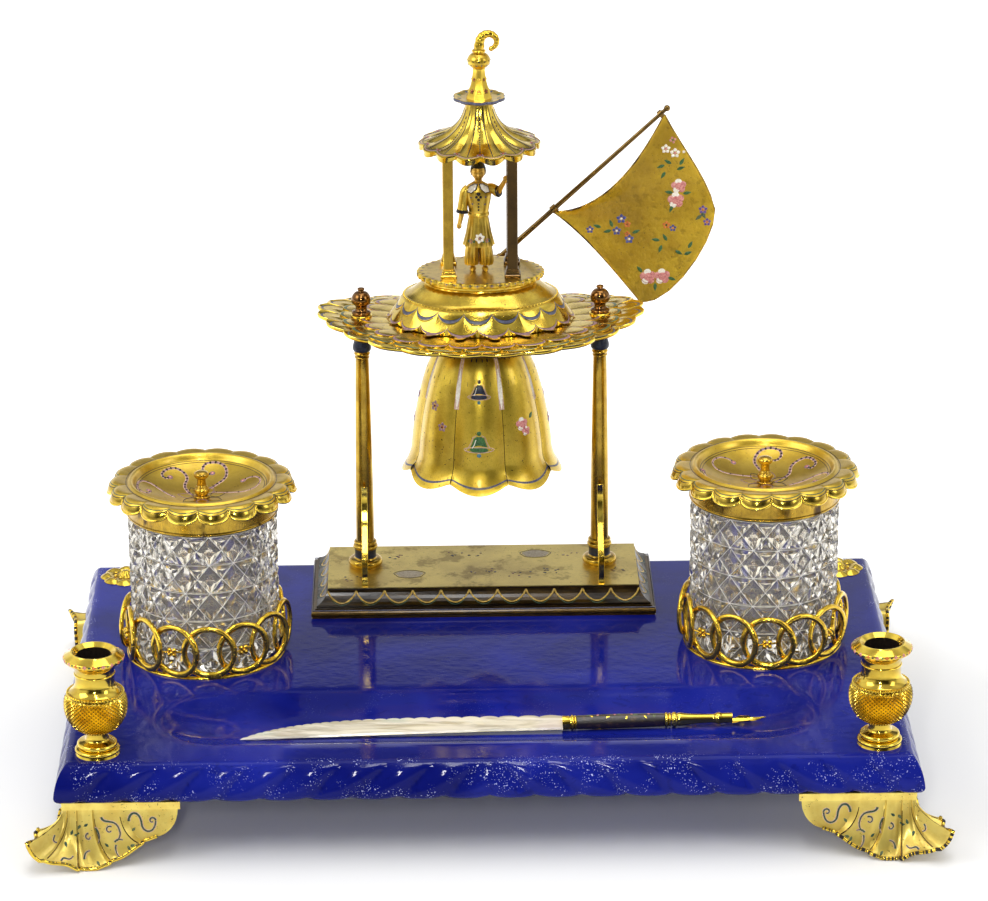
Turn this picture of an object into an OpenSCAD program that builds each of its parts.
// Desk inkstand: a carved blue tray on four shell feet carries two lidded ink
// bottles in ring galleries, two taper vases, a pen, and a pagoda bell stand
// whose flag lever pulls the bell's clapper.
// +X is the right-hand end, +Y the back and +Z up. The origin is on the
// ground under the middle of the tray. All lengths are in millimetres.

/* [Tray] */
// Width of the tray across its carved edge
tray_w = 350; // [330:1:400]
// Depth of the tray across its carved edge
tray_d = 220.4; // [214:0.2:260]
// Thickness of the tray
tray_t = 16; // [13:0.5:20]
// How far the carved edge runs out beyond the flat top
edge_run = 6.3; // [4:0.1:8]
// Height of the widest line of the edge above the underside
edge_tuck_h = 3.3; // [2:0.1:5]
// How far the underside is drawn in below the widest line
edge_tuck = 2.6; // [1:0.1:4]
// Spacing of the slanting flutes round the edge
flute_pitch = 18.3; // [14:0.1:24]
// Radius of each flute
flute_r = 3.2; // [2:0.1:4]
// Overall length of the pen trough
trough_l = 270; // [250:1:290]
// Width of the pen trough
trough_w = 52; // [44:1:56]
// Depth of the pen trough
trough_depth = 5.5; // [4:0.1:8]
// Distance of the trough's centre line in front of the tray's centre
trough_front = 61.6; // [58:0.1:64]

/* [Feet] */
// Height of the feet, from the ground to the tray's underside
foot_h = 26.5; // [22:0.5:32]
// Length of each wing along the tray's edge
foot_wing = 47; // [40:1:56]
// Setback of the foot's upper wall from the tray's widest line
foot_inset = 3.5; // [3:0.1:5]
// Wall of the cast shell
foot_wall = 1.7; // [1.2:0.1:2.4]
// Height of the plain band under the tray
band_h = 3.2; // [2.5:0.1:5]
// How far the corner point of the shell flares out beyond the tray
foot_flare = 11; // [8:0.5:13]
// Distance of each corner bolt from the tray's side edges
bolt_inset = 17.2; // [15:0.1:20]
// Radius of the corner bolts
bolt_r = 2; // [1.5:0.1:2.5]

/* [Taper vases] */
// Height of a vase
vase_h = 44.5; // [38:0.5:52]
// Radius of the foot of a vase
vase_foot_r = 9.05; // [8:0.05:11]
// Largest radius of the knurled bowl
vase_bowl_r = 12.7; // [11:0.1:14]
// Radius of the rim flange
vase_rim_r = 12.3; // [11:0.1:13.5]
// Radius of the socket that holds a taper
socket_r = 6.9; // [6:0.1:7.2]
// Depth of the socket
socket_depth = 15; // [10:0.5:18]
// Radius of the rosettes on the back corners
rosette_r = 11; // [9:0.1:13]
// Height of the rosettes
rosette_h = 3.2; // [2.5:0.1:4.5]

/* [Bottles] */
// Distance of each bottle's axis from the tray's end
bottle_inset = 56.6; // [53:0.1:59]
// Distance of the bottles behind the tray's centre
bottle_y = 11.6; // [10:0.1:14]
// How much further back the right-hand bottle and gallery sit
right_back = 3; // [0:0.1:5]
// How much taller the right-hand bottle is than the left
right_rise = 2.4; // [0:0.1:5]
// Radius of the cut glass body
bottle_r = 31.4; // [29:0.1:31.5]
// Height of the shoulder above the tray
bottle_h = 63.2; // [56:0.1:70]
// Thickness of the glass wall
glass_wall = 7; // [5:0.1:9]
// Thickness of the glass bottom
glass_floor = 8; // [6:0.5:12]
// Spacing of the level mitre cuts
mitre_pitch = 12.6; // [10:0.1:15]
// Depth of the level mitre cuts
mitre_depth = 0.7; // [0.4:0.1:1.2]
// Height of the gilt collar
collar_h = 12.3; // [10:0.1:15]
// Wall of the gilt collar
collar_wall = 1.4; // [1:0.1:2]

/* [Galleries] */
// Number of rings in each gallery
ring_count = 14; // [12:2:16]
// Radius of the centre line of each ring
ring_r = 10.5; // [9:0.1:11]
// Radius of the wire the rings are made of
wire_r = 0.85; // [0.7:0.05:0.9]
// How far each ring turns so that it passes over the next one
ring_turn = 8.4; // [8.2:0.1:10]
// Gap between the bottle and the line of the rings
gallery_gap = 0.5; // [0.4:0.05:1]

/* [Lids] */
// Radius over the lobes of a lid
lid_r = 40; // [38:0.1:43]
// Number of lobes round a lid
lid_lobes = 18; // [14:1:22]
// Depth of the dished middle below the lid's rim
dish_depth = 8.2; // [6:0.1:9]
// Height of the lid's turned knob
knob_h = 11.6; // [10:0.1:17]

/* [Plinth] */
// Width of the plinth's top
plinth_w = 134.8; // [128:0.1:140]
// Depth of the plinth's top
plinth_d = 47.4; // [44:0.1:48]
// Height of the plinth
plinth_h = 11.5; // [10:0.1:14]
// How far the plinth's base moulding stands out all round
plinth_step = 7.2; // [6:0.1:7.4]
// Distance of the plinth's centre behind the tray's centre
plinth_y = 73; // [72:0.1:73.2]

/* [Columns] */
// Distance between the two columns
column_span = 102.4; // [98:0.1:108]
// Distance of the columns behind the tray's centre
stand_y = 76; // [75:0.1:77]
// Height from the plinth's top to the canopy's underside at the columns
column_h = 113.2; // [104:0.1:122]
// Height of the dark enamelled capital
capital_h = 14; // [12:0.1:17]
// Radius at the foot of the shaft
shaft_r = 3.95; // [3.4:0.05:4.4]
// Radius at the top of the shaft
shaft_top_r = 2.9; // [2.6:0.05:3.3]
// Radius of the column's base ring
column_base_r = 7.5; // [6.5:0.1:8.5]
// Radius of the tie rods inside the columns
rod_r = 1.4; // [1:0.1:1.6]
// Height of the urn finials
finial_h = 12; // [10:0.1:14]
// Height of the pen brackets above the plinth
bracket_h = 39; // [32:0.5:44]
// Thickness of the pen bracket strips
bracket_t = 2.6; // [2:0.1:3.2]

/* [Canopy] */
// Half width of the canopy
canopy_a = 70.5; // [66:0.1:75]
// Half depth of the canopy
canopy_b = 42; // [39:0.1:43]
// Number of lobes round the canopy
canopy_lobes = 24; // [18:2:28]
// Thickness of the canopy sheet
canopy_t = 1.3; // [1:0.1:1.8]
// How far the front and back of the rim hang below the middle
canopy_drop = 3.6; // [2:0.1:5]
// How far the side wings sweep up above the middle
canopy_lift = 3.4; // [2:0.1:5]
// Half width of the dome at its foot
dome_a = 40; // [37:0.1:43]
// Height of the platform's top above the canopy's middle
dome_h = 20.7; // [19:0.1:24]
// Depth of the dome and platform as a share of their width
oval = 0.74; // [0.7:0.01:0.8]
// Half width of the platform
platform_a = 27.4; // [26.5:0.1:29]
// Thickness of the platform
platform_t = 2.4; // [2:0.1:3]

/* [Kiosk] */
// Side of the square kiosk posts
post_side = 4.5; // [3.5:0.1:5.5]
// Half distance between the left and right posts
post_x = 13.6; // [12:0.1:15]
// Half distance between the front and back posts
post_y = 9; // [8:0.1:10]
// Height from the platform to the roof's ceiling
kiosk_h = 56.4; // [52:0.1:60]
// Height of the figure
figure_h = 49; // [45:0.5:52]

/* [Roof] */
// Radius of the umbrella roof over its lobes
roof_r = 25.9; // [24:0.1:28]
// Number of lobes round the roof
roof_lobes = 14; // [10:1:18]
// Height of the umbrella roof from its rim to its top
roof_h = 18.4; // [15:0.1:22]
// Depth of the valance under the roof's rim
valance_h = 2.9; // [2:0.1:4.5]
// Radius of the small scalloped disc on the roof
disc_r = 11.3; // [10:0.1:13]
// Height of the faceted spire
spire_h = 12.4; // [10:0.1:15]
// Radius of the ball on the spire
ball_r = 4.9; // [4:0.1:5.5]
// Radius of the bend of the crook on top
crook_r = 3.9; // [3:0.1:4.5]

/* [Bell] */
// Radius of the bell at its lip
bell_r = 34.8; // [32:0.1:36]
// Height of the bell
bell_h = 63.4; // [57:0.1:65]
// Number of petals
petals = 8; // [6:1:10]
// Turn of the front petal's middle away from straight ahead
bell_turn = 3; // [-10:0.5:10]
// Thickness of the bell's metal
bell_t = 1.3; // [1:0.1:1.8]
// Distance of the bell's crown below the canopy's underside
bell_drop = 6.5; // [5:0.1:9]
// Radius of the clapper's ball
clapper_r = 5.5; // [4.5:0.1:6.5]
// Length of the clapper from its pivot to the ball's centre
clapper_l = 40; // [34:0.5:42]
// Length of the short arm that swings the clapper
clapper_arm = 2.5; // [2.4:0.1:3]

/* [Flag lever] */
// Length of the flagstaff from its pivot to its tip
staff_l = 101; // [90:1:110]
// Angle of the flagstaff above level
staff_angle = 42.6; // [38:0.1:48]
// Radius of the flagstaff
staff_r = 1; // [0.8:0.05:1.3]
// Length of the crank arm inside the dome
crank_l = 6.6; // [6:0.1:7]
// Full swing of the lever
lever_swing = 13; // [8:1:14]
// Radius of the lever's arbor
arbor_r = 1.2; // [1:0.05:1.5]
// Thickness of the flag sheet
flag_t = 0.8; // [0.6:0.1:1.2]
// How far the flag bellies out to the back
flag_belly = 2.5; // [0:0.1:4]

/* [Pen] */
// Length of the mother-of-pearl blade
blade_l = 132; // [120:1:136]
// Thickness of the blade
blade_t = 1.3; // [1:0.1:1.8]
// Radius of the dark grip
grip_r = 3; // [2.5:0.1:3.5]
// Length of the dark grip with its rings
grip_l = 45; // [40:1:50]
// Length of the gilt nib holder
holder_l = 25; // [20:1:28]
// Length of the nib beyond its holder
nib_l = 14; // [11:0.5:18]
// Height of the pen's axis above the floor of the trough
pen_lift = 3.35; // [3.3:0.05:4]

/* [Fits] */
// Radial clearance of a pin or rod in its hole
fit_gap = 0.05; // [0.02:0.01:0.1]
// Gap between curved faces that pass each other
pass_gap = 0.3; // [0.2:0.05:0.5]

/* [Hidden] */
$fn = 64;

gilt = [0.83, 0.64, 0.24];
dark_gilt = [0.62, 0.46, 0.2];
lapis = [0.05, 0.08, 0.5];
dark_enamel = [0.07, 0.09, 0.16];

tray_top = foot_h + tray_t;
bolt_x = tray_w/2 - bolt_inset;
bottle_x = tray_w/2 - bottle_inset;
bolt_y = tray_d/2 - bolt_inset;
bolt_engage = 6;
bolt_head_h = 2.2;
plate_t = 2.4;

plinth_top_z = tray_top + plinth_h;
canopy_z = plinth_top_z + column_h;
canopy_mid = canopy_z + canopy_t;
platform_z = canopy_mid + dome_h;
ceiling_z = platform_z + kiosk_h;
ceiling_t = 1.2;
roof_rim_z = ceiling_z + 0.4;
roof_top_z = roof_rim_z + roof_h;
disc_t = 1.6;
spire_z = roof_top_z + disc_t;
ball_half_h = ball_r*0.79*sin(66);
ball_z = spire_z + spire_h + ball_half_h;
crook_z = ball_z + ball_half_h;

bell_top_z = canopy_z - bell_drop;
pivot_z = bell_top_z - 10.5;
clapper_swing = 2*asin(crank_l/clapper_arm*sin(lever_swing/2));
arm_rest = clapper_swing/2;
pivot_x = clapper_arm*cos(arm_rest);
arbor_x = crank_l*cos(lever_swing/2);
arbor_z = platform_z - platform_t - 3.2;
rod_top_z = arbor_z - crank_l*sin(lever_swing/2);
rod_low_z = pivot_z - clapper_arm*sin(arm_rest);
pull_r = 0.8;
link_y = stand_y + pull_r + 0.3;
link_t = 1.2;
cross_r = 0.6;
cross_gap = 0.5;
flag_y = stand_y + 28;

// A point of a cubic curve, and a run of n pieces along it.
function bez(a, b, c, d, n) = [for (i = [0:n]) let (t = i/n, s = 1 - t)
    s*s*s*a + 3*s*s*t*b + 3*s*t*t*c + t*t*t*d];
function arc(c, r, from, to, n) = [for (i = [0:n]) let (a = from + (to - from)*i/n)
    c + r*[cos(a), sin(a)]];
function flat(lists) = [for (l = lists) for (p = l) p];
function back_to_front(l) = [for (i = [len(l) - 1:-1:0]) l[i]];
function mix(a, b, t) = a + (b - a)*t;
function unit(v) = v/norm(v);

// Closed skin through rings of points that each run counter-clockwise seen from
// above: down the outside, up the inside and back to the first ring.
module ring_shell(rings) {
    m = len(rings[0]);
    k = len(rings);
    polyhedron(points = flat(rings), faces = [for (i = [0:k - 1]) for (j = [0:m - 1])
        let (n = (i + 1)%k, q = (j + 1)%m) [i*m + j, i*m + q, n*m + q, n*m + j]],
        convexity = 6);
}

// Solid through rings that run counter-clockwise about the way they travel.
module ring_loft(rings) {
    m = len(rings[0]);
    k = len(rings);
    sides = [for (i = [0:k - 2]) for (j = [0:m - 1]) let (q = (j + 1)%m)
        [i*m + j, (i + 1)*m + j, (i + 1)*m + q, i*m + q]];
    first = [for (j = [0:m - 1]) j];
    last = [for (j = [m - 1:-1:0]) (k - 1)*m + j];
    polyhedron(points = flat(rings), faces = concat(sides, [first, last]), convexity = 6);
}

// Solid through rings that run out along a sheet's face and back along its other
// face, so that each end is a strip of narrow faces.
module sheet_loft(rings) {
    m = len(rings[0]);
    k = len(rings);
    sides = [for (i = [0:k - 2]) for (j = [0:m - 1]) let (q = (j + 1)%m)
        [i*m + j, (i + 1)*m + j, (i + 1)*m + q, i*m + q]];
    first = [for (j = [0:m/2 - 2]) [j, j + 1, m - 2 - j, m - 1 - j]];
    last = [for (f = first) [for (j = back_to_front(f)) (k - 1)*m + j]];
    polyhedron(points = flat(rings), faces = concat(sides, first, last), convexity = 6);
}

// Puts a child on the left (-1) or the right (1) at a distance x.
module on_side(side, x, y, z) {
    translate([side*x, y, z]) children();
}

function right_only(side, value) = side > 0 ? value : 0;

// Puts a child on a bottle's axis at a height above the tray.
module on_bottle(side, z) {
    on_side(side, bottle_x, bottle_y + right_only(side, right_back), tray_top + z) children();
}

// ---- Tray ----------------------------------------------------------------

// Half section of the tray's edge for a face that lies at half from the middle.
function edge_section(half) = let (
    top = [half - edge_run, tray_t],
    wide = [half, edge_tuck_h])
    concat(bez(top, top + [2.6, 0], wide + [-0.4, 6.5], wide, 5), [[half - edge_tuck, 0]]);

module edge_prism(half, run) {
    right = edge_section(half);
    left = [for (p = back_to_front(right)) [-p[0], p[1]]];
    rotate([90, 0, 0]) linear_extrude(run, center = true) polygon(concat(right, left));
}

// One slanting flute, lying along the edge's sloping face at its foot point.
module flute() {
    rise = tray_t - edge_tuck_h;
    slope = [rise, edge_run, rise];
    way = unit(slope);
    out = unit([0, -rise, edge_run]);
    reach = norm(slope) + 8;
    translate([-rise/2, 0, edge_tuck_h] + out*(flute_r - 0.4) - way*4)
        rotate([0, acos(way[2]), atan2(way[1], way[0])]) cylinder(reach, flute_r, flute_r);
}

module flute_row(length) {
    n = floor((length/2 - flute_pitch*0.6)/flute_pitch);
    for (k = [0:n]) {
        translate([-(k + 0.5)*flute_pitch, 0, 0]) flute();
        mirror([1, 0, 0]) translate([-(k + 0.5)*flute_pitch, 0, 0]) flute();
    }
}

module trough() {
    r = (pow(trough_w/2, 2) + pow(trough_depth, 2))/(2*trough_depth);
    half_arc = asin(trough_w/2/r);
    half = trough_l/2 - trough_w/2;
    curve = arc([0, r], r, -90, -90 + half_arc, 9);
    left = [for (p = back_to_front(curve)) [-p[0], p[1]]];
    over = 1;
    translate([0, -trough_front, tray_t - trough_depth]) {
        rotate([90, 0, 90]) linear_extrude(2*half, center = true) polygon(concat(left,
            [for (i = [1:len(curve) - 1]) curve[i]],
            [[trough_w/2, trough_depth + over], [-trough_w/2, trough_depth + over]]));
        for (end = [-1, 1]) translate([end*half, 0, 0]) rotate_extrude() polygon(concat(curve,
            [[trough_w/2, trough_depth + over], [0, trough_depth + over]]));
    }
}

module tray() {
    color(lapis) translate([0, 0, foot_h]) difference() {
        intersection() {
            edge_prism(tray_w/2, tray_d);
            rotate([0, 0, 90]) edge_prism(tray_d/2, tray_w);
        }
        for (turn = [0, 180]) rotate([0, 0, turn])
            translate([0, -tray_d/2, 0]) flute_row(tray_w);
        for (turn = [90, 270]) rotate([0, 0, turn])
            translate([0, -tray_w/2, 0]) flute_row(tray_d);
        trough();
        for (x = [-bolt_x, bolt_x]) for (y = [-bolt_y, bolt_y])
            translate([x, y, -1]) cylinder(tray_t + 2, bolt_r + fit_gap, bolt_r + fit_gap);
    }
}

// ---- Feet ----------------------------------------------------------------

// The shell foot is drawn in the corner frame of the tray: a runs inward along
// the front edge, b inward along the side edge, both from the widest line.
// Each rib of the fan is [a and b at the top, a, b and height at the lip,
// inward direction].
front_ribs = [
    [[foot_wing - 1, foot_inset], [foot_wing - 9, 2.5, 10.6], [0, 1]],
    [[24, foot_inset], [foot_wing - 12, 1, 9.5], [0, 1]],
    [[18.5, foot_inset], [27, -1.2, 3.6], [0, 1]],
    [[13.5, foot_inset], [19.5, -3, 1.4], [0, 1]],
    [[12, foot_inset], [16.5, -3.8, 0], [0, 1]],
    [[10.5, foot_inset], [12.5, -4.6, 0], [0, 1]],
    [[8.5, foot_inset], [9, -5.3, 0.9], [0, 1]],
    [[7, foot_inset], [5, -6, 3.6], [0.3, 0.95]],
    [[5.6, foot_inset], [-2.8, -8.5, 4.8], [0.5, 0.87]],
    [[4.5, foot_inset], [-foot_flare*0.74, -foot_flare*0.9, 9], [0.6, 0.8]],
    [[foot_inset, foot_inset], [-foot_flare, -foot_flare, 15.5], [0.7, 0.7]]];
side_ribs = [
    [[foot_inset, 4.4], [-6.4, -3.4, 12.4], [0.8, 0.6]],
    [[foot_inset, 5.4], [-7.4, 3, 16], [0.95, 0.3]],
    [[foot_inset, 6.4], [-6.2, 6.2, 8.4], [1, 0]],
    [[foot_inset, 8], [-5.2, 9.8, 2.6], [1, 0]],
    [[foot_inset, 10], [-4.6, 12.5, 0], [1, 0]],
    [[foot_inset, 12], [-3.8, 16.5, 0], [1, 0]],
    [[foot_inset, 13.5], [-3, 19.5, 1.4], [1, 0]],
    [[foot_inset, 18.5], [-1.2, 27, 3.6], [1, 0]],
    [[foot_inset, 24], [1, foot_wing - 12, 9.5], [1, 0]],
    [[foot_inset, foot_wing - 1], [2.5, foot_wing - 9, 10.6], [1, 0]]];

// Section of the shell on one rib: a cavetto out to the lip and back inside.
function rib_section(rib) = let (
    top = [rib[0][0], rib[0][1], foot_h - band_h],
    edge = rib[1][2] > 0 ? 0.6 : 0,
    lip = rib[1] + [0, 0, edge],
    way = [rib[2][0], rib[2][1], 0],
    steps = 5,
    outside = [for (i = [0:steps]) let (t = i/steps, s = pow(t, 1.9), v = 1 - pow(1 - t, 1.5))
        [mix(top[0], lip[0], s), mix(top[1], lip[1], s), mix(top[2], lip[2], v)]],
    inside = [for (i = [steps:-1:0]) let (t = i/steps)
        outside[i] + way*foot_wall - [0, 0, edge*t]])
    concat(outside, inside);

module foot_corner() {
    ribs = back_to_front(concat(front_ribs, side_ribs));
    sheet_loft([for (rib = ribs) rib_section(rib)]);
    inner = foot_inset + foot_wall;
    translate([0, 0, foot_h - band_h]) linear_extrude(band_h) polygon([
        [foot_inset - 0.6, foot_inset - 0.6], [foot_wing, foot_inset - 0.6], [foot_wing, inner],
        [inner + 6, inner], [inner, inner + 6], [inner, foot_wing], [foot_inset - 0.6, foot_wing]]);
    translate([0, 0, foot_h - plate_t]) difference() {
        linear_extrude(plate_t) polygon([[foot_inset + 1, foot_inset + 1],
            [bolt_inset + 22, foot_inset + 1], [foot_inset + 1, bolt_inset + 22]]);
        translate([bolt_inset, bolt_inset, -1])
            cylinder(plate_t + 2, bolt_r + fit_gap, bolt_r + fit_gap);
    }
}

// side and front are -1 or 1 for the left or right and the front or back.
module foot(side, front) {
    color(gilt) to_corner(side, front) translate([-tray_w/2, -tray_d/2, 0]) foot_corner();
}

module to_corner(side, front) {
    mirror([side > 0 ? 1 : 0, 0, 0]) mirror([0, front > 0 ? 1 : 0, 0]) children();
}

module corner_bolt(side, front) {
    low = foot_h - plate_t;
    color(dark_gilt) translate([side*bolt_x, front*bolt_y, 0]) {
        translate([0, 0, low - bolt_head_h]) cylinder(bolt_head_h, bolt_r*2, bolt_r*2);
        translate([0, 0, low]) cylinder(plate_t + tray_t + (front < 0 ? bolt_engage : rosette_h - 1),
            bolt_r, bolt_r);
    }
}

// ---- Taper vases and rosettes --------------------------------------------

module vase(side) {
    k = vase_h/44.5;
    lip = socket_r + 2;
    profile = concat([[0, 0], [vase_foot_r, 0]],
        arc([vase_foot_r - 0.8, 1.7*k], 0.9*k, -60, 80, 4),
        [[vase_foot_r - 1.9, 2.8*k]],
        arc([vase_foot_r - 2, 4.1*k], 1.1*k, -60, 90, 4),
        bez([5.2, 5.6*k], [4.4, 6*k], [4.2, 7.2*k], [4.4, 9.2*k], 3),
        bez([6, 9.8*k], [vase_bowl_r - 2, 12.4*k], [vase_bowl_r, 17*k], [vase_bowl_r, 21.4*k], 5),
        bez([vase_bowl_r, 22.6*k], [vase_bowl_r - 0.2, 25.4*k], [10.4, 26.4*k], [9.6, 27.6*k], 4),
        bez([8.7, 28.6*k], [7.9, 30*k], [7.9, 32*k], [8, 36.2*k], 3),
        bez([8.2, 37.6*k], [8.8, 39.4*k], [vase_rim_r - 1.2, 40*k], [vase_rim_r - 0.2, 41*k], 3),
        arc([vase_rim_r - 0.7, 41.9*k], 0.7, -30, 60, 3),
        [[lip + 0.9, 43.9*k], [lip + 0.3, 44.5*k], [lip - 0.2, 44.5*k], [socket_r, 43*k],
            [socket_r, 43*k - socket_depth], [0, 43*k - socket_depth]]);
    color(gilt) on_side(side, bolt_x, -bolt_y, tray_top) difference() {
        rotate_extrude() polygon(profile);
        translate([0, 0, -1]) cylinder(bolt_engage + 1.2, bolt_r + fit_gap, bolt_r + fit_gap);
    }
}

module rosette(side) {
    petal_r = rosette_r*0.36;
    color(gilt) on_side(side, bolt_x, bolt_y, tray_top) difference() {
        union() {
            intersection() {
                rotate_extrude() polygon(concat([[0, 0], [rosette_r, 0], [rosette_r, 0.8]],
                    bez([rosette_r - 0.6, 1.4], [rosette_r*0.8, 3], [rosette_r*0.6, 2.6],
                        [rosette_r*0.4, rosette_h*0.6], 4), [[0, rosette_h*0.6]]));
                linear_extrude(rosette_h) union() {
                    circle(rosette_r*0.6);
                    for (k = [0:7]) rotate(k*45) translate([rosette_r - petal_r, 0]) circle(petal_r);
                }
            }
            cylinder(rosette_h*0.8, rosette_r*0.34, rosette_r*0.3);
            translate([0, 0, rosette_h*0.6]) cylinder(rosette_h*0.4, rosette_r*0.2, rosette_r*0.14);
        }
        translate([0, 0, -1]) cylinder(rosette_h + 0.2, bolt_r + fit_gap, bolt_r + fit_gap);
    }
}

// ---- Galleries -----------------------------------------------------------

gallery_r = bottle_r + gallery_gap + wire_r;
floor_ring_h = 1.5;
ring_step = 360/ring_count;

// Where the wire of the ring on the left (-1) or right (1) of a ring stands
// level with that ring's middle, outward and along.
function wire_point(k) = let (a = k*ring_step) gallery_r*[cos(a), sin(a)]
    - k*ring_r*[-sin(a - ring_turn), cos(a - ring_turn)];

// Four petals on a boss, held in a ring's middle by a bar from one neighbour's
// wire to the other's.
module gallery_boss() {
    a = wire_point(-1);
    b = wire_point(1);
    d = b - a;
    middle = a - d*a[1]/d[1];
    translate([a[0], a[1], 0]) rotate([0, 90, atan2(d[1], d[0])]) cylinder(norm(d), 0.5, 0.5);
    translate([middle[0] - 0.5, 0, 0]) rotate([0, 90, 0]) {
        for (k = [0:3]) rotate([0, 0, 45 + k*90]) translate([1.55, 0, 0]) cylinder(1.2, 1.15, 1.15);
        cylinder(1.8, 1.1, 0.8);
    }
}

module gallery(side) {
    color(gilt) on_bottle(side, 0) {
        rotate_extrude() translate([gallery_r - wire_r*0.6, 0]) square([wire_r*2.2, floor_ring_h]);
        for (k = [0:ring_count - 1]) rotate([0, 0, k*ring_step - 90]) {
            translate([gallery_r, 0, floor_ring_h + ring_r + wire_r*0.4]) rotate([0, 0, -ring_turn])
                rotate([0, 90, 0]) rotate_extrude() translate([ring_r, 0]) circle(wire_r, $fn = 24);
            if (k%2 == 0) translate([0, 0, floor_ring_h + ring_r + wire_r*0.4]) gallery_boss();
        }
    }
}

// ---- Bottles, collars and lids -------------------------------------------

neck_r = bottle_r - 1.55;
neck_h = 7.4;
mouth_r = neck_r - 3;
collar_r = bottle_r + 0.2;
collar_in = collar_r - collar_wall;
foot_taper = 0.5;
// The mitres are spaced down from just under the shoulder.
shoulder_drop = 0.8;

function glass_h(side) = bottle_h + right_only(side, right_rise);
function collar_top(side) = glass_h(side) + collar_h;

module bottle(side) {
    h = glass_h(side);
    rows = floor((h - shoulder_drop - 4)/mitre_pitch);
    function skin(z) = bottle_r - foot_taper*max(0, 1 - z/26);
    cuts = flat([for (k = [rows:-1:1]) let (z = h - shoulder_drop - k*mitre_pitch)
        [[skin(z), z - mitre_depth], [skin(z) - mitre_depth, z], [skin(z), z + mitre_depth]]]);
    color([0.85, 0.88, 0.9, 0.6]) on_bottle(side, 0)
        rotate_extrude() polygon(concat([[0, 0], [skin(0) - 2.2, 0], [skin(0), 2]], cuts,
            [[bottle_r, h - 0.6], [bottle_r - 0.6, h], [neck_r, h],
            [neck_r, h + neck_h], [mouth_r, h + neck_h], [mouth_r, h - 3],
            [bottle_r - glass_wall, h - 8], [bottle_r - glass_wall, glass_floor + 4],
            [bottle_r - glass_wall - 4, glass_floor], [0, glass_floor]]));
}

module collar(side) {
    color(gilt) on_bottle(side, glass_h(side)) rotate_extrude()
        polygon([[neck_r + fit_gap, 0], [collar_r - 0.2, 0], [collar_r + 0.3, 0.5], [collar_r + 0.3, 1.1],
            [collar_r, 1.5], [collar_r, collar_h], [collar_in, collar_h],
            [collar_in, neck_h + 0.6], [neck_r + fit_gap, neck_h + 0.2]]);
}

lid_edge = lid_r*0.748;
dish_z = -dish_depth + 2;
rim_drop = 4;

module lid(side) {
    lobe_r = PI*lid_r/lid_lobes*1.17;
    spigot_r = collar_in - fit_gap*2;
    profile = concat([[0, dish_z]], [[6, dish_z]],
        bez([10, dish_z + 0.5], [17, dish_z + 1.6], [22, dish_z + 3.4], [lid_edge - 2.4, -0.2], 6),
        bez([lid_edge - 1.2, 1.9], [lid_edge - 0.4, 2.7], [lid_edge + 0.6, 2.5], [lid_edge + 1.2, 1.5], 3),
        bez([lid_edge + 3, 1.4], [lid_r - 4, 1.1], [lid_r - 1.6, 0.6], [lid_r + 0.2, -rim_drop + 0.2], 5),
        bez([lid_r - 1.1, -rim_drop - 0.2], [lid_r - 2.4, -1.2], [lid_r - 4, -0.2], [collar_r + 1, 0], 5),
        [[spigot_r, 0], [spigot_r, -2.6], [spigot_r - 1.4, -2.6], [spigot_r - 1.4, -1.2]],
        bez([lid_edge - 3.6, -1.6], [22, dish_z + 2.2], [17, dish_z + 0.4], [8, dish_z - 1], 5),
        [[0, dish_z - 1]]);
    color(gilt) on_bottle(side, collar_top(side)) intersection() {
        rotate_extrude() polygon(profile);
        translate([0, 0, -dish_depth - 2]) linear_extrude(dish_depth + 8) union() {
            circle(lid_r - lobe_r*0.6);
            for (k = [0:lid_lobes - 1]) rotate(k*360/lid_lobes)
                translate([lid_r - lobe_r, 0]) circle(lobe_r, $fn = 48);
        }
    }
}

module knob(side) {
    k = knob_h/13.6;
    color(gilt) on_bottle(side, collar_top(side) + dish_z) rotate_extrude()
        polygon(concat([[0, 0], [3.2, 0], [3.3, 0.5*k], [2.4, 0.9*k]],
            bez([2.2, 1.4*k], [3.1, 2.2*k], [3.2, 3.8*k], [2.4, 5*k], 4), [[2.55, 5.3*k], [2.2, 5.6*k]],
            bez([2.1, 6*k], [2, 7.2*k], [1.8, 8.4*k], [1.9, 9.8*k], 3),
            bez([2.2, 10.1*k], [3, 10.6*k], [3.3, 11.6*k], [2.8, 12.8*k], 4),
            [[1.6, 13.4*k], [0, knob_h]]));
}

// ---- Plinth --------------------------------------------------------------

base_h = 4;

module moulding_prism(half, run, profile) {
    rotate([90, 0, 0]) linear_extrude(run, center = true) polygon(concat(
        [for (p = profile) [half + p[0], p[1]]],
        [for (p = back_to_front(profile)) [-half - p[0], p[1]]]));
}

// Both ways of a moulding cross, which mitres its corners.
module mitred(half_x, half_y, profile) {
    intersection() {
        moulding_prism(half_x, 2*half_y + 40, profile);
        rotate([0, 0, 90]) moulding_prism(half_y, 2*half_x + 40, profile);
    }
}

module rod_holes(r) {
    for (side = [-1, 1]) translate([side*column_span/2, stand_y - plinth_y, -1])
        cylinder(plinth_h + 2, r, r);
}

module plinth_base() {
    s = plinth_step;
    color(dark_gilt) translate([0, plinth_y, tray_top]) difference() {
        mitred(plinth_w/2, plinth_d/2, concat([[s - 0.2, 0]],
            arc([s - 1.9, 1.7], 1.9, -50, 50, 4), [[s - 1.7, 3.4], [s - 1.7, base_h]]));
        rod_holes(rod_r + 1.6);
    }
}

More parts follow.
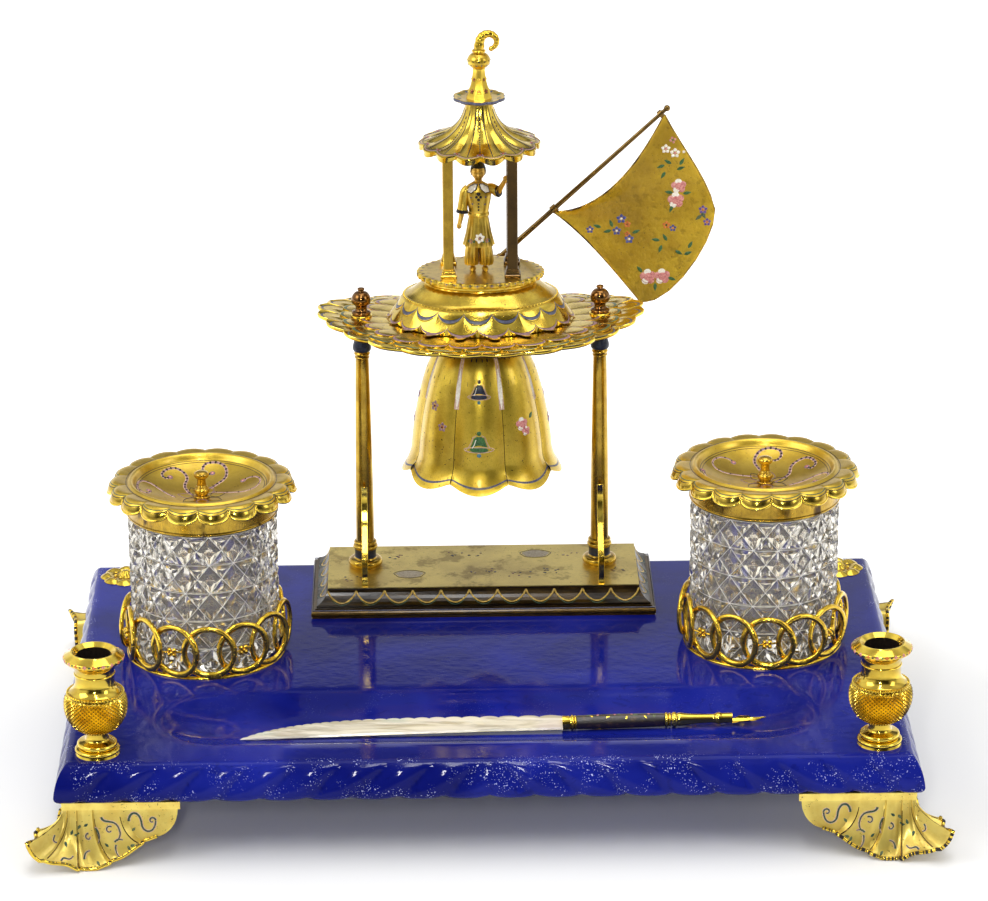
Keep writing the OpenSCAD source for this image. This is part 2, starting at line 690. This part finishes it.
module plinth_top() {
    s = plinth_step;
    rise = plinth_h - base_h;
    color(dark_gilt) translate([0, plinth_y, tray_top + base_h]) difference() {
        mitred(plinth_w/2, plinth_d/2, concat([[s - 2.4, 0], [s - 2.4, 0.9]],
            bez([s - 3, 1.1], [s - 5.4, 2.2], [0.4, rise - 3], [0, rise - 0.9], 5), [[0, rise]]));
        rod_holes(rod_r + fit_gap);
    }
}

// ---- Columns -------------------------------------------------------------

shaft_end = column_h - capital_h;

module column(side) {
    color(gilt) on_side(side, column_span/2, stand_y, plinth_top_z) difference() {
        rotate_extrude() polygon(concat([[0, 0], [column_base_r - 0.8, 0]],
            arc([column_base_r - 1.7, 1.75], 1.7, -60, 80, 5),
            bez([5.1, 3.6], [4.6, 4.2], [4.4, 5.6], [4.8, 7.8], 4),
            arc([4.5, 9], 0.9, -60, 60, 3), arc([4.2, 10.8], 0.8, -60, 70, 3),
            [[shaft_r, 11.6], [shaft_top_r, shaft_end - 3.4]],
            arc([shaft_top_r - 0.1, shaft_end - 2.7], 0.5, -60, 60, 3),
            arc([shaft_top_r - 0.1, shaft_end - 1.1], 0.7, -60, 60, 3),
            [[shaft_top_r, shaft_end], [0, shaft_end]]));
        translate([0, 0, -1]) cylinder(shaft_end + 2, rod_r + fit_gap, rod_r + fit_gap);
    }
}

module capital(side) {
    h = capital_h;
    color(dark_enamel) on_side(side, column_span/2, stand_y, plinth_top_z + shaft_end) difference() {
        rotate_extrude() polygon(concat([[0, 0], [3.4, 0]],
            bez([4, 0.6], [4.4, 1.6], [3.6, 3.4], [2.9, 5.6], 5),
            bez([2.8, 7.6], [2.9, 9.6], [3.4, h - 2.4], [4.4, h - 1.2], 3), [[4.4, h], [0, h]]));
        translate([0, 0, -1]) cylinder(h + 2, rod_r + fit_gap, rod_r + fit_gap);
    }
}

rod_head_h = 1.6;

module tie_rod(side) {
    top = canopy_mid + canopy_boss_h + finial_h*0.5;
    color(dark_gilt) on_side(side, column_span/2, stand_y, 0) {
        translate([0, 0, tray_top + base_h]) cylinder(top - tray_top - base_h, rod_r, rod_r);
        translate([0, 0, tray_top + base_h - rod_head_h]) cylinder(rod_head_h, rod_r + 1.2, rod_r + 1.2);
    }
}

module finial(side) {
    h = finial_h;
    color([0.62, 0.38, 0.2]) on_side(side, column_span/2, stand_y, canopy_mid + canopy_boss_h)
        difference() {
            rotate_extrude() polygon(concat([[0, 0], [3.9, 0]], arc([3.4, h*0.07], h*0.07, -60, 70, 3),
                bez([2.8, h*0.17], [2.3, h*0.24], [2.4, h*0.3], [3, h*0.38], 3),
                arc([0.2, h*0.56], 4, -26, 52, 6),
                [[1.4, h*0.84], [1.2, h*0.9], [1.5, h*0.93], [1.5, h*0.98], [1.1, h], [0, h]]));
            translate([0, 0, -1]) cylinder(h*0.5 + 1.2, rod_r + fit_gap, rod_r + fit_gap);
        }
}

// Pen cradle: a low horn in front and a tall strip that leans to the column.
module bracket(side) {
    front = plinth_y - plinth_d/2 + 4.4;
    lean = stand_y - shaft_r - pass_gap - 1 - front;
    h = bracket_h;
    outline = concat(bez([-3, 0], [-1.8, h*0.1], [-3, h*0.22], [-6.4, h*0.35], 5),
        bez([-5.4, h*0.37], [-2.4, h*0.26], [-1.2, h*0.16], [0.4, h*0.13], 4),
        bez([1.6, h*0.22], [3, h*0.34], [lean*0.44, h*0.44], [lean*0.62, h*0.54], 4),
        bez([lean*0.76, h*0.63], [lean*0.88, h*0.74], [lean*0.92, h*0.86], [lean*0.88, h], 4),
        bez([lean*0.96, h], [lean + 1, h*0.86], [lean*0.98, h*0.72], [lean*0.82, h*0.6], 4),
        bez([lean*0.66, h*0.49], [lean*0.46, h*0.38], [2.6, h*0.2], [3, 0], 5));
    color(gilt) on_side(side, column_span/2, front, plinth_top_z) rotate([90, 0, 90])
        linear_extrude(bracket_t, center = true) polygon(outline);
}

// ---- Canopy, dome and platform -------------------------------------------

// The bosses under the finials reach just above the wings' rising surface.
canopy_curl = 1.7;
canopy_boss_r = 4.6;
canopy_boss_t = (column_span/2 + canopy_boss_r - dome_a)/(canopy_a - dome_a);
canopy_boss_h = canopy_lift*pow(canopy_boss_t, canopy_curl) + 0.2;
around = 96;

function lobed(angle, n, depth) = 1 - depth*(1 - abs(sin(angle*n/2)));

// One ring of the canopy between the dome's foot (0) and the rim (1).
function canopy_ring(t, z) = [for (j = [0:around - 1]) let (
    a = j*360/around,
    rim = lobed(a + 90, canopy_lobes, 0.035*t*t*t),
    x = mix(dome_a, canopy_a*rim, t)*cos(a),
    y = mix(dome_a*oval, canopy_b*rim, t)*sin(a),
    lift = mix(-canopy_drop, canopy_lift, pow(abs(cos(a)), 3)))
    [x, y, z + lift*pow(t, canopy_curl)]];

module canopy() {
    steps = [0, 0.3, 0.55, 0.78, 0.92, 1];
    hole = [for (j = [0:around - 1]) let (a = j*360/around) [6*cos(a), 6*sin(a), 0]];
    up = [0, 0, canopy_t];
    color(gilt) translate([0, stand_y, canopy_z]) difference() {
        union() {
            ring_shell(concat([[for (p = hole) p + up]], [for (t = steps) canopy_ring(t, canopy_t)],
                [for (t = back_to_front(steps)) canopy_ring(t, 0)], [hole]));
            cylinder(canopy_t, 8, 8);
            for (side = [-1, 1]) translate([side*column_span/2, 0, 0])
                cylinder(canopy_t + canopy_boss_h, canopy_boss_r, canopy_boss_r);
        }
        for (side = [-1, 1]) translate([side*column_span/2, 0, -2]) {
            cylinder(canopy_t + 6, rod_r + fit_gap, rod_r + fit_gap);
            cylinder(2, canopy_boss_r + 1, canopy_boss_r + 1);
        }
        translate([0, 0, -1]) cylinder(canopy_t + 2, hanger_r + fit_gap, hanger_r + fit_gap);
    }
}

// Oval ring of a given half width and height.
function oval_ring(a, z, n) = [for (j = [0:n - 1]) let (t = j*360/n) [a*cos(t), a*oval*sin(t), z]];

module dome() {
    top = dome_h - platform_t;
    w = 1.4;
    k = dome_a/40;
    head = platform_a - 3.8*k;
    outer = concat([[head, top], [head, top - 1.6*k]],
        bez([head + 1.2*k, top - 3*k], [head + 4.4*k, top - 4.6*k], [dome_a - 11*k, top - 6.4*k],
            [dome_a - 7.2*k, top - 8*k], 4),
        bez([dome_a - 6.1*k, top - 9.2*k], [dome_a - 4.6*k, top - 11.6*k], [dome_a - 2.4*k, 3*k],
            [dome_a, 0], 5));
    inner = [for (i = [len(outer) - 1:-1:0]) let (
        p = outer[i],
        thicker = i > 5 ? 0.6 : 0,
        under = i > 1 ? 1.2 : 0)
        [p[0] - w - thicker, max(0, p[1] - under)]];
    n = 48;
    color(gilt) translate([0, stand_y, canopy_mid]) difference() {
        ring_shell([for (p = concat(outer, inner)) oval_ring(p[0], p[1], n)]);
        translate([arbor_x, 0, arbor_z - canopy_mid]) rotate([-90, 0, 0])
            cylinder(40, lug_r + fit_gap, lug_r + fit_gap);
    }
}

module platform() {
    scallops = 40;
    outline = [for (j = [0:scallops*3 - 1]) let (a = j*120/scallops,
        k = lobed(a, scallops, 0.03)) [platform_a*k*cos(a), platform_a*oval*k*sin(a)]];
    color(gilt) translate([0, stand_y, platform_z - platform_t]) linear_extrude(platform_t)
        polygon(outline);
}

// ---- Kiosk ---------------------------------------------------------------

module post(side, front) {
    s = post_side;
    color(gilt) translate([side*post_x, stand_y + front*post_y, platform_z]) {
        translate([-s/2, -s/2, 0]) cube([s, s, kiosk_h]);
        translate([-s/2 - 1.2, -s/2 - 1.2, 0]) cube([s + 2.4, s + 2.4, 1.6]);
        translate([-s/2 - 0.7, -s/2 - 0.7, 1.6]) cube([s + 1.4, s + 1.4, 1.2]);
        translate([-s/2 - 0.4, -s/2 - 0.4, 2.8]) cube([s + 0.8, s + 0.8, 1]);
        translate([-s/2 - 0.5, -s/2 - 0.5, kiosk_h - 1.6]) cube([s + 1, s + 1, 1.6]);
    }
}

// A limb or a fold of cloth between two balls.
module limb(a, b, ra, rb) {
    hull() {
        translate(a) sphere(ra, $fn = 16);
        translate(b) sphere(rb, $fn = 16);
    }
}

// Standing figure in a belted tunic: one arm down by the left post, the other
// raised to the right post. Heights are shares of the whole height.
module figure() {
    h = figure_h;
    shoulder = h*0.79;
    color(gilt) translate([-0.6, stand_y, platform_z]) {
        for (side = [-1, 1]) {
            limb([side*2.7, -1.5, h*0.03], [side*2.9, 0.9, h*0.036], 1.3, 1.4);
            translate([side*2.5, 0.4, h*0.04]) cylinder(h*0.2, 2.1, 2.6, $fn = 20);
        }
        translate([0, 0.4, h*0.2]) cylinder(h*0.31, 6.3, 4.2, $fn = 32);
        translate([0, 0.4, h*0.5]) cylinder(h*0.03, 4.5, 4.5, $fn = 32);
        translate([0, 0.4, h*0.52]) cylinder(h*0.2, 4.2, 5.3, $fn = 32);
        translate([0, 0.4, shoulder - h*0.07]) cylinder(h*0.07, 5.3, 2.6, $fn = 32);
        translate([0, 0.3, shoulder - 1]) cylinder(h*0.06, 1.7, 1.6, $fn = 24);
        translate([0, 0.1, h*0.895]) sphere(h*0.083);
        translate([0, 0.55, h*0.915]) sphere(h*0.085);
        limb([-4.4, 0.4, h*0.73], [-6.6, -0.6, h*0.56], 2, 2);
        limb([-6.6, -0.8, h*0.56], [-8.2, -3.4, h*0.44], 1.2, 0.9);
        limb([4.4, 0.4, h*0.74], [8.2, -1, h*0.72], 2, 2.1);
        limb([8.2, -1, h*0.72], [post_x - 2.4, -4.8, h*0.86], 1.2, 0.9);
    }
}

// ---- Roof ----------------------------------------------------------------

function roof_ring(r, z, depth, drop) = [for (j = [0:roof_lobes*4 - 1]) let (
    a = j*90/roof_lobes, k = lobed(a + 90, roof_lobes, depth), s = abs(sin((a + 90)*roof_lobes/2)))
    [r*k*cos(a), r*k*sin(a), z + drop*(1 - s)]];

module pagoda_roof() {
    h = roof_h;
    r = roof_r;
    outer = [[5.6, h, 0, 0], [6.3, h - 2.6, 0.03, 0], [8.8, h - 7.4, 0.05, 0], [12.6, h - 12, 0.06, 0],
        [17.5, h - 15.4, 0.06, 0], [22, h - 17.2, 0.06, 0], [r, h - 18.4, 0.07, 0.7],
        [r - 0.2, -valance_h, 0.07, 1.6], [r - 1.5, -valance_h, 0.07, 1.6], [r - 1.6, -1.2, 0.07, 0.6],
        [21.4, 0.1, 0.06, 0], [16.6, 1.9, 0.06, 0], [11.4, 5.2, 0.06, 0], [7.4, h - 8.6, 0.05, 0],
        [4.8, h - 3.4, 0.03, 0], [4.2, h, 0, 0]];
    color(gilt) translate([0, stand_y, roof_rim_z]) {
        ring_shell([for (p = outer) roof_ring(p[0], p[1], p[2], p[3])]);
        translate([0, 0, -0.4]) cylinder(ceiling_t, r - 5, r - 5);
    }
}

module roof_disc() {
    n = 10;
    lobe = disc_r*0.34;
    color(gilt) translate([0, stand_y, roof_top_z]) intersection() {
        rotate_extrude() polygon([[0, 0], [5.8, 0], [disc_r - 1, 0.5], [disc_r, 1.3], [disc_r - 0.4, 2.2],
            [disc_r - 1.8, 2], [6.6, disc_t], [0, disc_t]]);
        linear_extrude(disc_t + 1) union() {
            circle(disc_r - lobe*0.6);
            for (k = [0:n - 1]) rotate(k*360/n + 18) translate([disc_r - lobe, 0]) circle(lobe);
        }
    }
}

// Eight-sided concave spire with the ball turned on its top.
module spire() {
    h = spire_h;
    line = bez([5.9, 0], [4.4, h*0.25], [3.2, h*0.5], [2.7, h - 0.6], 5);
    color(gilt) translate([0, stand_y, spire_z]) {
        ring_loft([for (p = concat(line, [[2.9, h + 0.6]])) [for (j = [0:7]) let (a = j*45 + 22.5)
            [p[0]*cos(a), p[0]*sin(a), p[1]]]]);
        translate([0, 0, ball_z - spire_z]) rotate_extrude() polygon(concat([[0, -ball_half_h]],
            [for (i = [0:10]) let (a = -66 + i*13.2) [ball_r*cos(a), ball_r*0.79*sin(a)]],
            [[0, ball_half_h]]));
    }
}

// Crook: a tapering stem that bends over to the right and curls in.
module crook() {
    r = crook_r;
    stem = 2.6;
    bend = [for (i = [0:12]) let (a = 180 - i*21) [r*(1 - 0.018*i)*cos(a) + r + 0.4,
        r*(1 - 0.018*i)*sin(a) + stem + 1.8]];
    line = concat([[0, 0], [0, stem*0.5]], bend);
    n = len(line) - 1;
    rings = [for (i = [0:n]) let (
        d = unit(line[min(i + 1, n)] - line[max(i - 1, 0)]),
        w = mix(2.2, 0.75, pow(i/n, 0.7)))
        [for (j = [0:9]) let (a = j*36)
            [line[i][0] + w*cos(a)*d[1], w*sin(a), line[i][1] - w*cos(a)*d[0]]]];
    color(gilt) translate([0, stand_y, crook_z]) {
        ring_loft(rings);
        translate([line[n][0], 0, line[n][1]]) sphere(1.15, $fn = 20);
    }
}

// ---- Bell and its action -------------------------------------------------

hanger_r = 2.4;
lug_r = 2.6;

// Radius of the bell at share t of its height below the crown.
bell_line = concat(bez([0.075, 0.06], [0.36, 0.0], [0.57, 0.06], [0.66, 0.2], 5),
    bez([0.7, 0.28], [0.76, 0.44], [0.8, 0.6], [0.85, 0.76], 4),
    bez([0.87, 0.83], [0.9, 0.88], [0.94, 0.95], [1, 1], 3));

function bell_ring(p, wall) = [for (j = [0:petals*6 - 1]) let (
    a = j*60/petals + 90 - bell_turn,
    k = lobed(j*60/petals + 180/petals, petals, 0.06*min(1, p[1]*4)),
    s = 1 - abs(sin((j*60/petals + 180/petals)*petals/2)),
    r = (bell_r*p[0] - wall)*k)
    [r*cos(a), r*sin(a), -bell_h*p[1] + 4*s*pow(p[1], 8)]];

module bell() {
    outer = bell_line;
    inner = [for (i = [len(outer) - 1:-1:0]) outer[i]];
    color(gilt) translate([0, stand_y, bell_top_z + bell_h*0.02]) difference() {
        ring_shell(concat([for (p = outer) bell_ring(p, 0)],
            [for (p = inner) let (q = [p[0], p[1] + (p[1] < 0.2 ? bell_t*0.9/bell_h : 0)])
                bell_ring(q, bell_t)]));
        translate([0, 0, -10]) cylinder(20, hanger_r + fit_gap, hanger_r + fit_gap);
    }
}

// Tube through the canopy and the bell's crown, with a flange over the canopy,
// a nut under the crown and a cheek that carries the clapper's pin.
module bell_hanger() {
    low = pivot_z + 3.4;
    top = canopy_mid + 1.6;
    crown = bell_top_z - bell_h*0.04;
    color(dark_gilt) translate([0, stand_y, 0]) difference() {
        union() {
            translate([0, 0, low]) cylinder(top - low, hanger_r, hanger_r);
            translate([0, 0, canopy_mid]) cylinder(1.6, 4.6, 4.6);
            translate([0, 0, crown - 2.9]) cylinder(1.6, 4.4, 4.4);
            translate([-1.6, -hanger_r, pivot_z - 2.2]) cube([pivot_x + 3.4, link_t, low - pivot_z + 4]);
            translate([pivot_x, -hanger_r, pivot_z]) rotate([-90, 0, 0])
                cylinder(hanger_r + link_y - stand_y + link_t + 1, 0.7, 0.7);
            translate([pivot_x, link_y - stand_y + link_t + 0.3, pivot_z]) rotate([-90, 0, 0])
                cylinder(0.7, 1.2, 1.2);
        }
        translate([0, 0, low - 1]) cylinder(top - low + 2, pull_r + fit_gap, pull_r + fit_gap);
    }
}

module clapper() {
    color(dark_gilt) translate([pivot_x, link_y, pivot_z]) difference() {
        union() {
            rotate([-90, 0, 0]) cylinder(link_t, 1.35, 1.35);
            rotate([0, -arm_rest, 0]) difference() {
                union() {
                    translate([-clapper_arm, 0, 0]) rotate([-90, 0, 0]) cylinder(link_t, 1.9, 1.9);
                    translate([-clapper_arm, 0, -1.2]) cube([clapper_arm, link_t, 2.4]);
                }
                translate([-clapper_arm, -1, 0]) rotate([-90, 0, 0])
                    cylinder(link_t + 2, cross_r + cross_gap, cross_r + cross_gap, $fn = 32);
            }
            translate([0, link_t/2, -clapper_l]) cylinder(clapper_l - 0.9, 0.6, 0.6);
            translate([0, link_t/2, -clapper_l]) sphere(clapper_r);
        }
        translate([0, -1, 0]) rotate([-90, 0, 0]) cylinder(link_t + 2, 0.7 + fit_gap, 0.7 + fit_gap);
    }
}

module pull_rod() {
    color(dark_gilt) translate([0, stand_y, 0]) {
        translate([0, 0, rod_low_z - 0.8]) cylinder(rod_top_z - rod_low_z + 1.6, pull_r, pull_r);
        for (z = [rod_low_z, rod_top_z]) translate([0, 0, z]) rotate([-90, 0, 0])
            cylinder(link_y - stand_y + link_t + 0.4, cross_r, cross_r);
    }
}

// Bush through the dome's back wall that carries the lever's arbor.
module flag_lug() {
    from = stand_y + (dome_a - 24)*oval + 2;
    color(gilt) translate([arbor_x, from, arbor_z]) rotate([-90, 0, 0]) difference() {
        union() {
            cylinder(flag_y - 2.6 - from, lug_r, lug_r);
            translate([0, 0, flag_y - 2.6 - from - 1.2]) cylinder(1.2, lug_r + 0.5, lug_r + 0.5);
        }
        translate([0, 0, -1]) cylinder(40, arbor_r + fit_gap, arbor_r + fit_gap);
    }
}

staff_way = [cos(staff_angle), 0, sin(staff_angle)];

module flag_staff() {
    hub = [arbor_x, flag_y, arbor_z];
    color(gilt) {
        translate([arbor_x, link_y, arbor_z]) rotate([-90, 0, 0])
            cylinder(flag_y - link_y + 2, arbor_r, arbor_r);
        translate([arbor_x, flag_y - 2.2, arbor_z]) rotate([-90, 0, 0]) cylinder(4.4, 2.6, 2.6);
        translate([arbor_x, link_y, arbor_z]) rotate([0, -lever_swing/2, 0]) difference() {
            union() {
                rotate([-90, 0, 0]) cylinder(link_t, 2, 2);
                translate([-crank_l, 0, -1.1]) cube([crank_l, link_t, 2.2]);
                translate([-crank_l, 0, 0]) rotate([-90, 0, 0]) cylinder(link_t, 1.9, 1.9);
            }
            translate([-crank_l, -1, 0]) rotate([-90, 0, 0])
                cylinder(link_t + 2, cross_r + cross_gap, cross_r + cross_gap, $fn = 32);
        }
        translate(hub) rotate([0, 90 - staff_angle, 0]) {
            cylinder(staff_l, staff_r + 0.25, staff_r - 0.15);
            translate([0, 0, 2]) cylinder(2, 1.9, 1.6);
            translate([0, 0, staff_l*0.335]) cylinder(2.6, 1.8, 1.8);
            translate([0, 0, staff_l - 4.6]) cylinder(2, 1.7, 1.7);
            translate([0, 0, staff_l]) sphere(1.4, $fn = 24);
        }
    }
}

// The flag is a sail-shaped sheet held at two rings on the staff. Its four
// edges are curves between corners measured from the lever's pivot, along and
// up, and the sheet between them bellies to the back.
flag_low = [staff_l*0.35*cos(staff_angle), staff_l*0.35*sin(staff_angle)];
flag_high = [(staff_l - 3.6)*cos(staff_angle), (staff_l - 3.6)*sin(staff_angle)];
flag_scale = staff_l/101;
flag_right = [95.4, 24]*flag_scale;
flag_tip = [64.6, -19]*flag_scale;

module flag_sheet() {
    n = 12;
    m = 8;
    k = flag_scale;
    upper = bez(flag_low + [0.4, -1.6]*k, flag_low + [20, -2]*k, flag_high + [-10, -24]*k,
        flag_high + [0.8, -0.8]*k, n);
    lower = bez(flag_low + [0.2, -2]*k, flag_low + [12, -11]*k, flag_tip + [-14, 18]*k, flag_tip, n);
    right = bez(flag_high + [1.6, -0.6]*k, flag_high + [8, -14]*k, flag_right + [-3, 14]*k,
        flag_right, m/2);
    fall = bez(flag_right, flag_right + [0.4, -8]*k, flag_tip + [16, 4]*k, flag_tip + [4, 0]*k, m/2);
    edge = concat(right, [for (i = [1:len(fall) - 1]) fall[i]]);
    function sheet(u, v) = let (i = round(u*n), row = round(v*m),
        start = mix(upper[i], lower[i], v),
        chord = mix(upper[n], lower[n], v))
        start + (edge[row] - chord)*u*u;
    function belly(u, v) = flag_belly*sin(180*v)*sin(90*u);
    color(gilt) translate([arbor_x, flag_y, arbor_z]) sheet_loft([for (i = [0:n]) let (u = i/n)
        concat([for (k = [0:m]) let (v = k/m, p = sheet(u, v)) [p[0], belly(u, v) - flag_t/2, p[1]]],
            [for (k = [m:-1:0]) let (v = k/m, p = sheet(u, v)) [p[0], belly(u, v) + flag_t/2, p[1]]])]);
}

// ---- Pen -----------------------------------------------------------------

pen_turn = 2.5;
pen_roll = 10;

// Puts a child on the pen's axis, which starts at the ferrule and runs to the nib.
module on_pen() {
    translate([30.4, -trough_front - 3.8, tray_top - trough_depth + pen_lift])
        rotate([0, 0, pen_turn]) rotate([pen_roll, 0, 0]) children();
}

module pen_blade() {
    teeth = 26;
    k = blade_l/132;
    end = [-blade_l, -5*k];
    back = bez(end, [-blade_l*0.8, 8.6*k], [-blade_l*0.62, 7.2*k], [0, 4.7*k], teeth);
    tooth = [for (i = [0:teeth - 1]) let (a = back[i], b = back[i + 1], d = b - a)
        [a, mix(a, b, 0.5) + [-d[1], d[0]]*0.16]];
    color([0.93, 0.91, 0.86]) on_pen() translate([0, 0, -blade_t/2]) linear_extrude(blade_t)
        polygon(concat(flat(tooth), [[0, 4.7*k], [0, -4.9*k]],
            bez([-8*k, -4.9*k], [-blade_l*0.4, -4.4*k], [-blade_l*0.8, -5.2*k], end - [0, 0.3*k], 5)));
}

module pen_grip() {
    color([0.16, 0.13, 0.1]) on_pen() translate([6, 0, 0]) rotate([0, 90, 0]) rotate_extrude()
        polygon(concat([[0, 0]], bez([grip_r - 0.2, 0], [grip_r + 0.1, 8], [grip_r, grip_l - 16],
            [grip_r - 0.3, grip_l - 9], 5), [[0, grip_l - 9]]));
}

module pen_rings() {
    color(gilt) on_pen() rotate([0, 90, 0]) {
        cylinder(3, grip_r - 0.1, grip_r - 0.1);
        rotate_extrude() polygon(concat([[0, 3], [grip_r - 0.3, 3]],
            arc([grip_r - 0.4, 4.2], 0.6, -70, 70, 4),
            arc([grip_r - 0.5, 5.4], 0.5, -70, 60, 3), [[0, 6]]));
        translate([0, 0, grip_l - 3]) rotate_extrude() polygon(concat([[0, 0]],
            arc([grip_r - 0.6, 0.8], 0.7, -80, 80, 4), arc([grip_r - 0.7, 2.2], 0.6, -80, 60, 4), [[0, 3]]));
    }
}

module pen_holder() {
    color(gilt) on_pen() translate([grip_l, 0, 0]) rotate([0, 90, 0]) rotate_extrude() polygon(concat(
        [[0, 0], [grip_r - 0.6, 0]], bez([grip_r - 0.6, 1.5], [grip_r, 4], [2.2, 10], [1.9, holder_l - 7], 5),
        [[2, holder_l - 6], [2.5, holder_l - 5.4], [2.5, holder_l - 4.4], [2.1, holder_l - 4],
        [2.1, holder_l], [0, holder_l]]));
}

module pen_nib() {
    color([0.85, 0.62, 0.2]) on_pen() translate([grip_l + holder_l, 0, 0]) intersection() {
        difference() {
            rotate([0, 90, 0]) cylinder(nib_l, 2.3, 1.4);
            translate([-1, 0, 0.5]) rotate([0, 90, 0]) cylinder(nib_l + 2, 2, 1.1);
        }
        linear_extrude(10, center = true) polygon([[0, -2.1], [nib_l*0.4, -2.2], [nib_l, -0.2],
            [nib_l, 0.2], [nib_l*0.4, 2.2], [0, 2.1]]);
        translate([0, -5, -5]) cube([nib_l, 10, 5]);
    }
}

tray();
foot(-1, -1);  // foot_front_left
foot(1, -1);  // foot_front_right
foot(-1, 1);  // foot_back_left
foot(1, 1);  // foot_back_right
corner_bolt(-1, -1);  // bolt_front_left
corner_bolt(1, -1);  // bolt_front_right
corner_bolt(-1, 1);  // bolt_back_left
corner_bolt(1, 1);  // bolt_back_right
vase(-1);  // vase_left
vase(1);  // vase_right
rosette(-1);  // rosette_left
rosette(1);  // rosette_right
gallery(-1);  // gallery_left
gallery(1);  // gallery_right
bottle(-1);  // bottle_left
bottle(1);  // bottle_right
collar(-1);  // collar_left
collar(1);  // collar_right
lid(-1);  // lid_left
lid(1);  // lid_right
knob(-1);  // knob_left
knob(1);  // knob_right
plinth_base();
plinth_top();
column(-1);  // column_left
column(1);  // column_right
capital(-1);  // capital_left
capital(1);  // capital_right
tie_rod(-1);  // tie_rod_left
tie_rod(1);  // tie_rod_right
finial(-1);  // finial_left
finial(1);  // finial_right
bracket(-1);  // bracket_left
bracket(1);  // bracket_right
canopy();
dome();
platform();
post(-1, -1);  // post_front_left
post(1, -1);  // post_front_right
post(-1, 1);  // post_back_left
post(1, 1);  // post_back_right
figure();
pagoda_roof();
roof_disc();
spire();
crook();
bell();
bell_hanger();
clapper();
pull_rod();
flag_lug();
flag_staff();
flag_sheet();
pen_blade();
pen_grip();
pen_rings();
pen_holder();
pen_nib();
